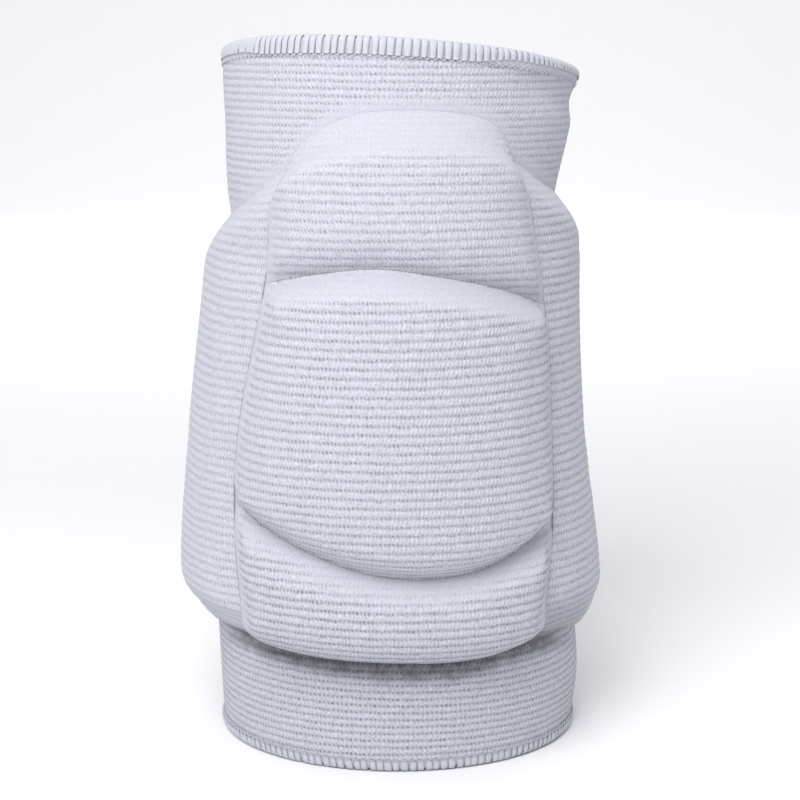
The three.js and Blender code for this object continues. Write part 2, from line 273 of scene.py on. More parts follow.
pads = [
    {"node": "upper_pad", "piece": "upper_front_padding", "thickness": 0.0115, "crown": 0.0008,
     "thinnerUp": 0.05, "left": leftSeam, "right": rightSeam, "bottom": upperSeam, "top": upperPadTop,
     "edges": (sideSeam, sideSeam, crossSeam, openSlope), "overhang": (0, 0), "smoothSides": 1,
     "shadeGrey": (0.25, 0.004), "taut": 0.3},
    {"node": "middle_pad", "piece": "middle_front_padding", "thickness": 0.0155, "crown": 0.0014,
     "thinnerUp": 0, "left": leftSeam, "right": rightSeam, "bottom": lowerSeam, "top": upperSeam,
     "edges": (sideSeam, sideSeam, crossSeam, crossSeam), "overhang": (0, 0), "smoothSides": 1,
     "shadeGrey": (0.25, 0.004), "taut": 0.15},
    {"node": "lower_pad", "piece": "lower_front_padding", "thickness": 0.0135, "crown": 0.0008,
     "thinnerUp": 0, "left": leftSeam, "right": rightSeam, "bottom": lowerPadBottom, "top": lowerSeam,
     "edges": (sideSeam, sideSeam, frontLedge, crossSeam), "overhang": (0.001, 0.003), "smoothSides": 1,
     "shadeGrey": (0.8, 0.0065), "taut": 0},
    {"node": "left_side_pad", "piece": "left_side_padding", "thickness": 0.009, "crown": 0.0002,
     "thinnerUp": 0.2, "left": leftBackEdge, "right": leftSeam, "bottom": leftPadBottom, "top": leftPadTop,
     "edges": (backSlope, sideSeam, leftLedge, openSlope), "overhang": (0.001, 0.001), "smoothSides": 0,
     "shadeGrey": (0.6, 0.006), "taut": 0.3},
    {"node": "right_side_pad", "piece": "right_side_padding", "thickness": 0.0082, "crown": 0.0002,
     "thinnerUp": 0.1, "left": rightSeam, "right": rightBackEdge, "bottom": rightPadBottom,
     "top": rightPadTop, "edges": (sideSeam, backSlope, rightLedge, openSlope), "overhang": (0.001, 0.001),
     "smoothSides": 0, "shadeGrey": (0.6, 0.016), "taut": 0.15},
]


# Where a pad's grid place lies on the sleeve: between its side edges and its lower and upper ones.
def padPlace(pad, across, up):
    across, up = np.broadcast_arrays(across, up)
    corner, middle = pad["overhang"]
    raised = middle + (corner - middle) * across ** 4
    bottom = through(pad["bottom"], across)[..., 0] + (padding["seamRoom"] + raised) / sleeve["length"]
    top = through(pad["top"], across)[..., 0] - padding["seamRoom"] / sleeve["length"]
    at = bottom + (top - bottom) * (up + 1) / 2
    room = math.degrees(2 * padding["seamRoom"] / sleeve["width"])
    left = through(pad["left"], at)[..., 0] + room
    right = through(pad["right"], at)[..., 0] - room
    return np.radians(left + (right - left) * (across + 1) / 2), at


# How far up an edge's profile is, 0 at the edge to 1 where the pad is full: a half wave for a slope, a
# quarter wave for a bulge, and for a seam a quarter wave whose foot is rounded.
def edgeRise(edge, place, distance):
    u = np.clip(distance / np.interp(place, (-1, 1), edge["width"]), 0, 1)
    if edge["form"] == "slope":
        return easeInOut(u)
    if edge["form"] == "seam":
        rounding = padding["seamRounding"]
        foot = math.sqrt(rounding)
        u = (np.sqrt(u * u + rounding) - foot) / (math.sqrt(1 + rounding) - foot)
    return np.sin(u * math.pi / 2)


# Straight distances over the sleeve from places of a pad to its left, right, lower and upper edges.
def edgeDistances(pad, across, up):
    across, up = np.broadcast_arrays(across, up)
    here = onSleeve(*padPlace(pad, across, up), 0)
    ones = np.ones_like(across)
    edgePlaces = ((-ones, up), (ones, up), (across, -ones), (across, ones))
    return [np.linalg.norm(here - onSleeve(*padPlace(pad, *place), 0), axis=-1) for place in edgePlaces]


# A pad's outer face. Its thickness is the full one, crowned, less what its four edges take off together,
# by the cube root of their cubes, but at a seam's foot it is no less than the seam. Near its lower edge
# the face hangs down, by a wave that is 0 at the edge and where the pad is full. The spare is taken off
# the full thickness before the cloth swells.
def padFace(pad, across, up, spare=0.0):
    across, up = np.broadcast_arrays(across, up)
    distances = edgeDistances(pad, across, up)
    full = pad["thickness"] * (1 - pad["thinnerUp"] * up) - pad["crown"] * (across ** 2 + up ** 2) / 2
    full = full - spare
    drops, foot = 0, padding["seamFoot"]
    for edge, distance, place in zip(pad["edges"], distances, (up, up, across, across)):
        rise = edgeRise(edge, place, distance)
        drops = drops + (np.maximum(full - edge["thickness"], 0) * (1 - rise)) ** 3
        if edge["form"] != "seam":
            foot = foot * np.sqrt(rise)
    thickness = np.maximum(full - np.cbrt(drops), np.maximum(foot, openEdge))
    turn, at = padPlace(pad, across, up)
    corner, middle = pad["overhang"]
    u = np.clip(distances[2] / np.interp(across, (-1, 1), pad["edges"][2]["width"]), 0, 1)
    hang = 2 * (middle + (corner - middle) * across ** 4) * np.sin(math.pi * u ** 0.6)
    return onSleeve(turn, at - hang / sleeve["length"], padding["seat"] + thickness), distances


# Where a place of the sleeve lies beside a pad: how far across it, above its top and below its bottom.
def besidePad(pad, turn, at):
    left, right = (through(pad[side], at)[..., 0] for side in ("left", "right"))
    across = 2 * (np.degrees(turn) - left) / (right - left) - 1
    inside = np.clip(across, -1, 1)
    above = (at - through(pad["top"], inside)[..., 0]) * sleeve["length"]
    below = (through(pad["bottom"], inside)[..., 0] - at) * sleeve["length"]
    return np.abs(across) <= 1, above, below


# Puts points and faces into a mesh. Each set of faces has the vertices' numbers and the UVs' numbers.
# Hidden sets, from the number flatFrom on, are shaded flat, so that the edge before them stays clean.
def buildPiece(name, points, faces, uvs, attributes, materials, flatFrom=99):
    mesh = bpy.data.meshes.new(name)
    corners = np.concatenate([f.ravel() for f, _, _ in faces])
    uvCorners = np.concatenate([u.ravel() for _, u, _ in faces])
    sizes = np.concatenate([np.full(len(f), f.shape[1]) for f, _, _ in faces])
    mesh.vertices.add(len(points))
    mesh.vertices.foreach_set("co", points.ravel())
    mesh.loops.add(len(corners))
    mesh.loops.foreach_set("vertex_index", corners.astype(np.int32))
    mesh.polygons.add(len(sizes))
    mesh.polygons.foreach_set("loop_start", (np.cumsum(sizes) - sizes).astype(np.int32))
    smooth = np.concatenate([np.full(len(f), k < flatFrom) for k, (f, _, _) in enumerate(faces)])
    mesh.polygons.foreach_set("use_smooth", smooth)
    mesh.polygons.foreach_set("material_index", np.concatenate([np.full(len(f), m) for f, _, m in faces]))
    mesh.uv_layers.new(name="knit").data.foreach_set("uv", uvs[uvCorners].ravel())
    for attribute, values in attributes.items():
        mesh.attributes.new(attribute, "FLOAT", "POINT").data.foreach_set("value", values.ravel())
    for material in materials:
        mesh.materials.append(material)
    mesh.update()
    mesh.validate()
    piece = bpy.data.objects.new(name, mesh)
    bpy.context.scene.collection.objects.link(piece)
    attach(piece, "root")
    return piece


# Four-cornered faces of a grid, as numbers into its points and into its UVs, which don't close. Where the
# grid is closed the points of its last column are its first, and a looped one joins its last row to its
# first.
def gridFaces(columns, rows, closed=False, looped=False):
    columnFaces, rowFaces = columns - (not closed), rows - (not looped)
    i, j = (k.ravel() for k in np.meshgrid(np.arange(columnFaces), np.arange(rowFaces), indexing="ij"))
    right, above = (i + 1) % columns, (j + 1) % rows
    faces = np.stack([i * rows + j, right * rows + j, right * rows + above, i * rows + above], -1)
    uvFaces = np.stack([i * rows + j, (i + 1) * rows + j, (i + 1) * rows + above, i * rows + above], -1)
    return faces, uvFaces


# Colours as they are seen, turned to the linear values that the shader takes.
def linear(colour):
    channels = [int(colour[k:k + 2], 16) / 255 for k in (1, 3, 5)]
    return [c / 12.92 if c <= 0.04045 else ((c + 0.055) / 1.055) ** 2.4 for c in channels] + [1]


# Adds a node: settings are its properties, and values go to its inputs by name or number, as a link where
# the value is another node's output.
def addNode(tree, kind, values, **settings):
    node = tree.nodes.new("ShaderNode" + kind)
    for name, value in settings.items():
        setattr(node, name, value)
    for name, value in values.items():
        if isinstance(value, bpy.types.NodeSocket):
            tree.links.new(value, node.inputs[name])
        else:
            node.inputs[name].default_value = value
    return node


def calculate(tree, operation, a, b=0.0, c=0.0):
    return addNode(tree, "Math", {0: a, 1: b, 2: c}, operation=operation).outputs[0]


# Cloudy values from 0 to 1 whose clouds are about as long as the given size.
def noise(tree, place, size, detail):
    return addNode(tree, "TexNoise", {"Vector": place, "Scale": 1 / size, "Detail": detail}).outputs["Fac"]


# Sizes in metres, as everywhere here.
knitLook = {
    "yarn": "#C5C6D0",  # bleached cotton and elastane, a little blue
    # painted shade in the grooves and between the legs of a stitch
    "grooveShade": "#A5A7B2",
    "hole": "#7C7F8B",  # painted shade: the dark between two stitches, in the groove
    "pulled": "#B8B9C3",  # smooth where it is stretched over an edge
    "shadeInFold": "#68696C",  # painted shade where the knit is folded in
    "holeWidth": 0.34,  # share of a stitch
    "holeHeight": 0.36,  # share of a rib
    "shadeBetweenLegs": 0.42,  # how far painted shade darkens the knit between two legs of a stitch
    "legLean": 1.1,  # stitches that a leg leans for each rib of height
    "wanderLength": 0.00385,  # stitches wander over about three of their own widths
    "wanderAlong": 1.1,  # in stitches
    "wanderAcross": 0.3,  # in ribs
    "patchLength": 0.00192,  # open and filled holes alternate over about two stitches
    "tuftLength": 0.00067,  # a single fibre is 0.02 mm wide, too fine to show, so tufts are drawn
    "glint": 0.8,  # how much the fibres lighten and darken the knit
    "glintPulled": 0.256,  # the same where it is pulled smooth
    "loopRelief": 0.5,
    "fibreRelief": 0.5,
    "bumpDistance": 0.0004,
    "roughness": 0.92,
    "sheen": 0.2,
    "sheenRoughness": 0.5,
    "specular": 0.25,  # yarn is full of air and gives back little gloss
}


# Weft knit of bleached cotton over elastic, knitted in ribs that lie round the arm: matt and slightly furry,
# with a row of small dark holes along each groove and slanting loops between two rows. The dark in the holes,
# in the grooves, between the legs and in folds is painted shade.
def ribKnit(name):
    material = bpy.data.materials.new(name)
    material.use_nodes = True
    tree = material.node_tree
    shader = tree.nodes["Principled BSDF"]
    uv = addNode(tree, "SeparateXYZ", {0: addNode(tree, "UVMap", {}, uv_map="knit").outputs[0]})
    here = addNode(tree, "TexCoord", {}).outputs["Object"]
    stretched = addNode(tree, "Attribute", {}, attribute_name="stretched").outputs["Fac"]
    paintedShade = addNode(tree, "Attribute", {}, attribute_name="paintedShade").outputs["Fac"]
    slack = calculate(tree, "SUBTRACT", 1.0, stretched)
    # stitches and ribs wander a little, as hand-stretched knit does
    wander = noise(tree, here, knitLook["wanderLength"], 2.0)
    wander = calculate(tree, "SUBTRACT", wander, 0.5)
    loops = calculate(tree, "MULTIPLY_ADD", wander, knitLook["wanderAlong"], uv.outputs[0])
    ribs = calculate(tree, "MULTIPLY_ADD", wander, knitLook["wanderAcross"], uv.outputs[1])
    # distances to the nearest hole, in stitches and ribs, 0 to 0.5
    fromHole = calculate(tree, "PINGPONG", loops, 0.5)
    fromGroove = calculate(tree, "PINGPONG", ribs, 0.5)
    wide = calculate(tree, "DIVIDE", fromHole, knitLook["holeWidth"])
    high = calculate(tree, "DIVIDE", fromGroove, knitLook["holeHeight"])
    reach = calculate(tree, "SQRT", calculate(tree, "MULTIPLY_ADD", wide, wide,
                                              calculate(tree, "MULTIPLY", high, high)))
    hole = addNode(tree, "MapRange", {"Value": reach, 1: 0.15, 2: 1.15, 3: 1.0, 4: 0.0},
                   interpolation_type="SMOOTHSTEP").outputs[0]
    grooveShade = addNode(tree, "MapRange", {"Value": fromGroove, 1: 0.0, 2: 0.4, 3: 0.75, 4: 0.0},
                     interpolation_type="SMOOTHSTEP").outputs[0]
    # legs of the loops: a stripe along the rib that leans with the distance from the groove
    lean = calculate(tree, "MULTIPLY_ADD", fromGroove, knitLook["legLean"], loops)
    leg = calculate(tree, "SINE", calculate(tree, "MULTIPLY", lean, 2 * math.pi))
    # some holes are filled by fibres and others are open
    patchy = noise(tree, here, knitLook["patchLength"], 2.0)
    openness = addNode(tree, "MapRange", {"Value": patchy, 1: 0.3, 2: 0.7, 3: 0.3, 4: 0.85}).outputs[0]
    openness = calculate(tree, "MULTIPLY", openness, slack)
    fibres = noise(tree, here, knitLook["tuftLength"], 3.0)
    legGapShade = calculate(tree, "MULTIPLY_ADD", leg, -knitLook["shadeBetweenLegs"] / 2, knitLook["shadeBetweenLegs"] / 2)
    recessShade = calculate(tree, "MULTIPLY", calculate(tree, "MAXIMUM", grooveShade, legGapShade), slack)
    # painted shade: the knit darkens in the grooves, between legs and in open holes; where pulled it takes
    # its own even colour
    shade = addNode(tree, "Mix", {0: recessShade, 6: linear(knitLook["yarn"]), 7: linear(knitLook["grooveShade"])},
                    data_type="RGBA").outputs[2]
    shade = addNode(tree, "Mix", {0: stretched, 6: shade, 7: linear(knitLook["pulled"])},
                    data_type="RGBA").outputs[2]
    shade = addNode(tree, "Mix", {0: calculate(tree, "MULTIPLY", hole, openness), 6: shade,
                                  7: linear(knitLook["hole"])}, data_type="RGBA").outputs[2]
    # the yarn's own fibres catch light here and there, and less where it is pulled smooth
    glint, glintPulled = knitLook["glint"], knitLook["glintPulled"]
    furry = calculate(tree, "MULTIPLY_ADD", slack, glint - glintPulled, glintPulled)
    lit = calculate(tree, "MULTIPLY_ADD", calculate(tree, "SUBTRACT", fibres, 0.5), furry, 1.0)
    shade = addNode(tree, "VectorMath", {0: shade, "Scale": lit}, operation="SCALE").outputs[0]
    # painted shade: in a fold the knit is greyed in patches
    shadeGrey = addNode(tree, "MapRange", {"Value": patchy, 1: 0.35, 2: 0.65, 3: 0.7, 4: 1.0}).outputs[0]
    shadeGrey = calculate(tree, "MULTIPLY", paintedShade, shadeGrey)
    shade = addNode(tree, "Mix", {0: shadeGrey, 6: shade, 7: linear(knitLook["shadeInFold"])},
                    data_type="RGBA").outputs[2]
    tree.links.new(shade, shader.inputs["Base Color"])
    # the legs stand up, the holes sink in and the fibres roughen both
    relief = calculate(tree, "MULTIPLY", leg, calculate(tree, "MULTIPLY", slack, knitLook["loopRelief"] / 2))
    relief = calculate(tree, "MULTIPLY_ADD", calculate(tree, "MULTIPLY", hole, openness), -1.0, relief)
    relief = calculate(tree, "MULTIPLY_ADD", fibres, knitLook["fibreRelief"], relief)
    bump = addNode(tree, "Bump", {"Height": relief, "Strength": 1.0, "Distance": knitLook["bumpDistance"]})
    tree.links.new(bump.outputs[0], shader.inputs["Normal"])
    shader.inputs["Roughness"].default_value = knitLook["roughness"]
    shader.inputs["Sheen Weight"].default_value = knitLook["sheen"]
    shader.inputs["Sheen Roughness"].default_value = knitLook["sheenRoughness"]
    shader.inputs["Specular IOR Level"].default_value = knitLook["specular"]
    return material


threadLook = {
    "shaded": "#B2B3BC",  # between the fibres
    "fibre": "#C6C7D0",
    "twistLength": 0.00045,  # the real twist is 0.15 mm, too fine to show, so it is drawn coarser
    "relief": 0.6,
    "bumpDistance": 0.0003,
    "roughness": 0.8,
    "sheen": 0.2,
}


# Textured polyester overlock thread, wound in stitches: as white as the knit, with fine twisted fibres.
def overlockThread(name):
    material = bpy.data.materials.new(name)
    material.use_nodes = True
    tree = material.node_tree
    shader = tree.nodes["Principled BSDF"]
    here = addNode(tree, "TexCoord", {}).outputs["Object"]
    fibres = noise(tree, here, threadLook["twistLength"], 3.0)
    shade = addNode(tree, "Mix", {0: fibres, 6: linear(threadLook["shaded"]), 7: linear(threadLook["fibre"])},
                    data_type="RGBA").outputs[2]
    tree.links.new(shade, shader.inputs["Base Color"])
    bump = addNode(tree, "Bump", {"Height": fibres, "Strength": threadLook["relief"],
                                  "Distance": threadLook["bumpDistance"]})
    tree.links.new(bump.outputs[0], shader.inputs["Normal"])
    shader.inputs["Roughness"].default_value = threadLook["roughness"]
    shader.inputs["Sheen Weight"].default_value = threadLook["sheen"]
    return material


ribKnitMaterial = ribKnit("bleached_rib_knit")
threadMaterial = overlockThread("overlock_thread")


# The knitted tube: a closed grid whose rows run up the outer face and down the inner one. Both are ribbed,
# and below the padding a smooth bump function of height draws the knit in.
def makeSleeve():
    first = (hemHeight["lower"] - sleeve["underHem"]) / sleeve["length"]
    last = 1 - (hemHeight["upper"] - sleeve["underHem"]) / sleeve["length"]
    ribCount = ribsUpTo(last * sleeve["length"]) - ribsUpTo(first * sleeve["length"])
    outerRows = int(ribCount * sleeve["samplesPerRib"])
    innerRows = int(ribCount * sleeve["innerSamplesPerRib"])
    turns = np.linspace(-math.pi, math.pi, sleeve["columns"] + 1)[:, None]
    at = np.concatenate([np.linspace(first, last, outerRows), np.linspace(last, first, innerRows)])[None]
    outer = (np.arange(at.size) < outerRows)[None]
    turns, at = np.broadcast_arrays(turns, at)
    tuck, paintedShade = np.zeros(at.shape), np.zeros(at.shape)
    stretched = sleeve["wideStretch"] * ramp(at, *sleeve["wideShares"])
    degrees = np.abs(np.degrees(turns))
    for pad in pads:
        beside, above, below = besidePad(pad, turns, at)
        # above a top slope the knit is stretched and lit from above, and takes the even pulled colour without
        # the painted shade of holes and grooves
        if pad["edges"][3]["form"] == "slope":
            pulled = beside * (1 - easeInOut(above / sleeve["pullAbove"])) * (above > -sleeve["pullBehind"])
            stretched = np.maximum(stretched, padding["topSmooth"] * pulled)
        if pad["edges"][2]["form"] != "seam":
            near = beside * ramp(degrees, *sleeve["tuckTurns"])
            drawnIn = 1 - easeInOut(np.abs(below - sleeve["tuckBelow"]) / sleeve["tuckHeight"])
            tuck = np.maximum(tuck, near * drawnIn)
            # painted shade: the padding hides the knit below it from the light, from a little above its edge,
            # and most in front
            ragged = below + sleeve["foldRagged"] * unevenness(3 * turns, 2 * turns, sleeve["foldSeed"])
            ragged = ragged - sleeve["foldDeeper"] * np.cos(turns) ** 2
            folded = 1 - easeInOut((ragged - sleeve["foldBelow"]) / sleeve["foldFade"])
            paintedShade = np.maximum(paintedShade, near * (below > -sleeve["foldAbove"]) * folded)
    lift = np.where(outer, 0, -sleeve["wall"]) - tuck * sleeve["tuckDepth"]
    grid = onSleeve(turns, at, lift)
    ribs = ribsUpTo(grid[..., 2]) + ribWander * unevenness(grid[..., 0], grid[..., 2], ribWanderSeed)
    loops = turns / (2 * math.pi) * round(sleeve["girth"] / sleeve["loopPitch"])
    base = grid[:-1]
    normals = gridNormals(base, closed=True)
    depth = np.where(outer, sleeve["ribDepth"], sleeve["innerRibDepth"])
    depth = depth * (1 - sleeve["ribsPulledFlat"] * stretched[:-1])
    depth[:, [0, outerRows - 1, outerRows, -1]] = 0
    points = base - normals * (depth * (1 - ribHeight(ribs[:-1])))[..., None]
    faces, uvFaces = gridFaces(sleeve["columns"], at.shape[1], closed=True, looped=True)
    # painted shade of the fold, on the outer face only
    shadeGrey = np.where(outer, sleeve["foldShadeStrength"] * paintedShade[:-1], 0)
    attributes = {"stretched": stretched[:-1], "paintedShade": shadeGrey}
    piece = buildPiece("knitted_sleeve", points.reshape(-1, 3), [(faces, uvFaces, 0)],
                       np.stack([loops, ribs], -1).reshape(-1, 2), attributes, [ribKnitMaterial])
    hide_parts("knit_sleeve")
    return piece


settling = {
    "net": 41,  # points along each side of a pad's net
    "enlarge": 10,  # the solver works better on larger cloth
    "pressure": 4.0,
    "mass": 0.02,
    "longer": 0.012,  # the knit is cut this share larger than its place
    "spare": 0.0005,  # taken off the padding first, since the cloth swells
    "furthest": 0.0014,
    "calm": 0.012,  # the swelling fades out this near to an open edge
    "frames": 20,
}


# The knit over one pad as a coarse net of cloth, held along its edges, that the foam pushes out.
def makeNet(pad):
    count = settling["net"]
    steps = np.linspace(-1, 1, count)
    start = padFace(pad, steps[:, None], steps[None], settling["spare"])[0]
    mesh = bpy.data.meshes.new("net")
    places = start.reshape(-1, 3) * settling["enlarge"]
    mesh.from_pydata(places.tolist(), [], gridFaces(count, count)[0].tolist())
    net = bpy.data.objects.new("net", mesh)
    bpy.context.scene.collection.objects.link(net)
    edge = np.ones((count, count), bool)
    edge[1:-1, 1:-1] = False
    net.vertex_groups.new(name="held").add(np.flatnonzero(edge).tolist(), 1.0, "REPLACE")
    cloth = net.modifiers.new("cloth", "CLOTH")
    cloth.settings.vertex_group_mass = "held"
    cloth.settings.mass = settling["mass"]
    cloth.settings.use_pressure = True
    cloth.settings.uniform_pressure_force = settling["pressure"]
    cloth.settings.effector_weights.gravity = 0
    cloth.settings.shrink_min = -settling["longer"]
    cloth.collision_settings.use_collision = False
    cloth.point_cache.frame_end = settling["frames"]
    return net, start


# How far each net moves while the solver runs, no further than the cap, and averaged with its neighbours.
def settlePads():
    nets = {pad["node"]: makeNet(pad) for pad in pads}
    for step in range(1, settling["frames"] + 1):
        bpy.context.scene.frame_set(step)
    moved = {}
    for node, (net, start) in nets.items():
        solved = net.evaluated_get(bpy.context.evaluated_depsgraph_get()).data
        places = np.empty(len(solved.vertices) * 3)
        solved.vertices.foreach_get("co", places)
        move = places.reshape(start.shape) / settling["enlarge"] - start
        far = np.linalg.norm(move, axis=-1, keepdims=True)
        move = move * np.minimum(1, settling["furthest"] / np.maximum(far, 1e-9))
        move[1:-1, 1:-1] = sum(move[1 + i:len(move) - 1 + i, 1 + j:len(move) - 1 + j]
                               for i in (-1, 0, 1) for j in (-1, 0, 1)) / 9
        moved[node] = move
        print(node, "settled by", round(1000 * far.mean(), 2), "mm, at most", round(1000 * far.max(), 2))
        bpy.data.objects.remove(net)
    bpy.context.scene.frame_set(1)
    return moved


# A net's values on a finer grid: the smooth curves through its columns, and then through its rows.
def overGrid(values, across, up):
    steps = np.linspace(-1, 1, len(values))[:, None]
    values = through(np.hstack([steps, values.reshape(len(steps), -1)]), across.ravel())
    values = values.reshape(across.size, len(steps), 3).swapaxes(0, 1)
    values = through(np.hstack([steps, values.reshape(len(steps), -1)]), up.ravel())
    return values.reshape(up.size, across.size, 3).swapaxes(0, 1)


# A pad: its knitted face, a rim turned in under it, and the underside drawn together to its middle.
def makePad(pad):
    low, high = (np.array(corner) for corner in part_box(pad["node"]))
    columns = int(np.linalg.norm(high[:2] - low[:2]) / padding["columnPitch"])
    rows = int((high[2] - low[2]) / padding["ribPitch"] * padding["samplesPerRib"])
    across = np.linspace(-1, 1, columns)[:, None]
    up = np.linspace(-1, 1, rows)[None]
    if pad["node"] in swollen:
        # the slopes at the open edges stay as they are laid
        base, distances = padFace(pad, across, up, settling["spare"])
        free = np.ones(base.shape[:2])
        for edge, distance in zip(pad["edges"], distances):
            if edge["form"] == "slope":
                free = free * easeInOut(distance / settling["calm"])
        base = base + overGrid(swollen[pad["node"]], across, up) * free[..., None]
    else:
        base, distances = padFace(pad, across, up)
    normals = gridNormals(base)
    # the knit lies smooth where it is pulled over a top slope or beside a front pad's seam, and less so
    # at the sides of the arm. Where a slope faces up, the painted shade of holes and grooves also gives way,
    # as light from above washes it out.
    facingUp = ramp(normals[..., 2], 0.2, 0.8)
    stretched = np.maximum(pad["taut"], padding["topSmooth"] * facingUp)
    if pad["smoothSides"]:
        fromSeam = np.minimum(distances[0], distances[1])
        pulled = 1 - easeInOut(fromSeam / padding["pull"] - 0.3)
        stretched = np.maximum(stretched, padding["pullStrength"] * pulled)
    degrees = np.abs(np.degrees(padPlace(pad, across, up)[0]))
    sideways = rampUpAndDown(degrees, *padding["sideTurns"])
    stretched = np.maximum(stretched, padding["sideSmooth"] * sideways)
    # ribs are counted along the face from its middle row, and stitches from its middle column, but
    # towards the back edges the ribs are the sleeve's own, counted by height
    upAlong = np.cumsum(np.linalg.norm(np.diff(base, axis=1, prepend=base[:, :1]), axis=-1), axis=1)
    upAlong = upAlong - upAlong[:, rows // 2, None]
    ribs = ribsUpTo(base[:, rows // 2, None, 2]) + upAlong / padding["ribPitch"]
    ribs = ribs + (ribsUpTo(base[..., 2]) - ribs) * ramp(degrees, *padding["ownRibTurns"])
    ribs = ribs + ribWander * unevenness(base[..., 0], base[..., 2], ribWanderSeed)
    along = np.cumsum(np.linalg.norm(np.diff(base, axis=0, prepend=base[:1]), axis=-1), axis=0)
    loops = (along - along[columns // 2]) / padding["loopPitch"]
    # the ribs run out towards the edges, three times as near to a back edge
    fades = [distance * (3 if edge is backSlope else 1) for edge, distance in zip(pad["edges"], distances)]
    ribbed = easeInOut(np.minimum.reduce(fades) / padding["ribFade"])
    depth = padding["ribDepth"] * (1 - stretched) * ribbed
    points = base - normals * (depth * (1 - ribHeight(ribs)))[..., None]
    # the grid's edge, once round: along the bottom, up the right, back along the top, down the left
    i = np.concatenate([np.arange(columns - 1), np.full(rows - 1, columns - 1),
                        np.arange(columns - 1, 0, -1), np.zeros(rows - 1, int)])
    j = np.concatenate([np.zeros(columns - 1, int), np.arange(rows - 1),
                        np.full(columns - 1, rows - 1), np.arange(rows - 1, 0, -1)])
    rings = [i * rows + j]
    under = []
    for share in (1.0, 0.8, 0.55, 0.3):  # rings of the underside, shrinking to its middle
        place = padPlace(pad, across[i, 0] * share, up[0, j] * share)
        rings.append(columns * rows + len(under) * len(i) + np.arange(len(i)))
        under.append(onSleeve(*place, padding["underside"]))
    pole = columns * rows + len(under) * len(i)
    under.append(onSleeve(*padPlace(pad, np.zeros(1), np.zeros(1)), padding["underside"]))
    faces = [(*gridFaces(columns, rows), 0)]
    for outer, inner in zip(rings[:-1], rings[1:]):
        quads = np.stack([inner, np.roll(inner, -1), np.roll(outer, -1), outer], -1)
        faces.append((quads, quads, 0))
    fan = np.stack([np.full(len(i), pole), np.roll(rings[-1], -1), rings[-1]], -1)
    faces.append((fan, fan, 0))
    allPoints = np.concatenate([points.reshape(-1, 3), *under])
    hidden = len(allPoints) - columns * rows
    uvs = np.concatenate([np.stack([loops, ribs], -1).reshape(-1, 2), np.zeros((hidden, 2))])
    # painted shade where a pad's lower edge sinks into a seam, and more where it is tucked under
    shadeShare, reach = pad["shadeGrey"]
    paintedShade = shadeShare * (1 - easeInOut(distances[2] / reach)) * ramp(degrees, *padding["shadeTurns"])
    attributes = {"stretched": np.concatenate([stretched.ravel(), np.ones(hidden)]),
                  "paintedShade": np.concatenate([paintedShade.ravel(), np.zeros(hidden)])}
    piece = buildPiece(pad["piece"], allPoints, faces, uvs, attributes, [ribKnitMaterial],
                       flatFrom=1)
    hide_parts(pad["node"])
    return piece


hemWork = {
    "band": 0.0026,  # thickness of the folded knit under the threads
    "bandShade": 0.18,  # how far the band shows painted shade between the threads
    "bandInside": 0.0001,  # from the hem's end to the band's
    "bandInset": 1.2,  # from the hem's free edge to the band's, in thread thicknesses
    "stitchInset": 0.7,  # and to the middle of the stitches' threads
    "bandEnd": 0.0012,  # the band thins out over this length, and the stitches end before it
    "bandSunk": 0.00015,  # how far the band's ends sink into the sleeve
    "shorterRight": 0.62,  # share by which the upper hem's outer legs are shorter, on each side
    "shorterLeft": 0.35,
    "rightTurns": (22, 38, 100, 120),  # degrees from the front
    "leftTurns": (44, 58, 100, 120),
    "calmTurns": (40, 60, 110, 130),  # the stitches lie close and low where the hem bends away
    "calmWider": 0.3,
    "calmLower": 0.8,
    "placeUneven": 0.1,  # in stitches
    "widthUneven": 0.12,
    "taperPower": 0.14,
    "flatPower": 0.6,  # under 1, the threads' section is squarer than an ellipse
    "stitchPitch": 0.0020,
    "stitchWidth": 0.00185,
    "thread": 0.0006,  # how far the threads stand up
    "lean": 0.3,  # how far a stitch leans along the edge, in stitches
    "steps": 18,
    "sides": 8,
    "chainRadius": 0.00022,
    "chainWave": 0.00035,
    "chainRoll": 0.0001,  # how far it waves out and in
    "chainInside": 0.0006,  # from the hem's end
    "chainSteps": 8,  # for each stitch
    "chainSides": 6,
    "aroundColumns": 192,
}


# Points of a hem: depth is measured in from the free edge, and lift out from the middle of the knit.
def onHem(end, turn, depth, lift):
    at = depth / sleeve["length"] if end == "lower" else 1 - depth / sleeve["length"]
    return onSleeve(turn, at, lift - sleeve["wall"] / 2)


# How long the stitches' outer legs are, as a share: on the upper hem they turn in at the sides.
def legShare(end, turn):
    if end == "lower":
        return np.ones_like(turn)
    degrees = np.degrees(turn)
    right = rampUpAndDown(degrees, *hemWork["rightTurns"])
    left = rampUpAndDown(-degrees, *hemWork["leftTurns"])
    return 1 - hemWork["shorterRight"] * right - hemWork["shorterLeft"] * left


# The band under the threads: a folded edge of knit, round at the free end, as a closed grid whose other
# end sinks into the sleeve.
def hemBand(end):
    half = hemWork["band"] / 2
    reach = hemHeight[end] - hemWork["bandInside"]
    bend = np.linspace(0, math.pi, 9)
    nearEnd = reach - hemWork["bandEnd"]
    sunk = sleeve["wall"] / 2 - hemWork["bandSunk"]
    rolled = half * (1 - np.sin(bend)) + hemWork["thread"] * hemWork["bandInset"]
    depth = np.concatenate([[reach, nearEnd], rolled, [nearEnd, reach]])
    lift = np.concatenate([[sunk, half], half * np.cos(bend), [-half, -sunk]])
    turns = np.linspace(-math.pi, math.pi, hemWork["aroundColumns"], endpoint=False)[:, None]
    # least painted shade where the threads' legs are shortest, because the band shows most there
    shadeShare = 1 - (1 - legShare(end, turns)) / hemWork["shorterRight"]
    paintedShade = np.broadcast_to(hemWork["bandShade"] * shadeShare, (len(turns), len(depth)))
    points = onHem(end, turns, depth[None], lift[None])
    faces, _ = gridFaces(len(turns), len(depth), closed=True, looped=True)
    return points.reshape(-1, 3), faces, paintedShade.ravel()


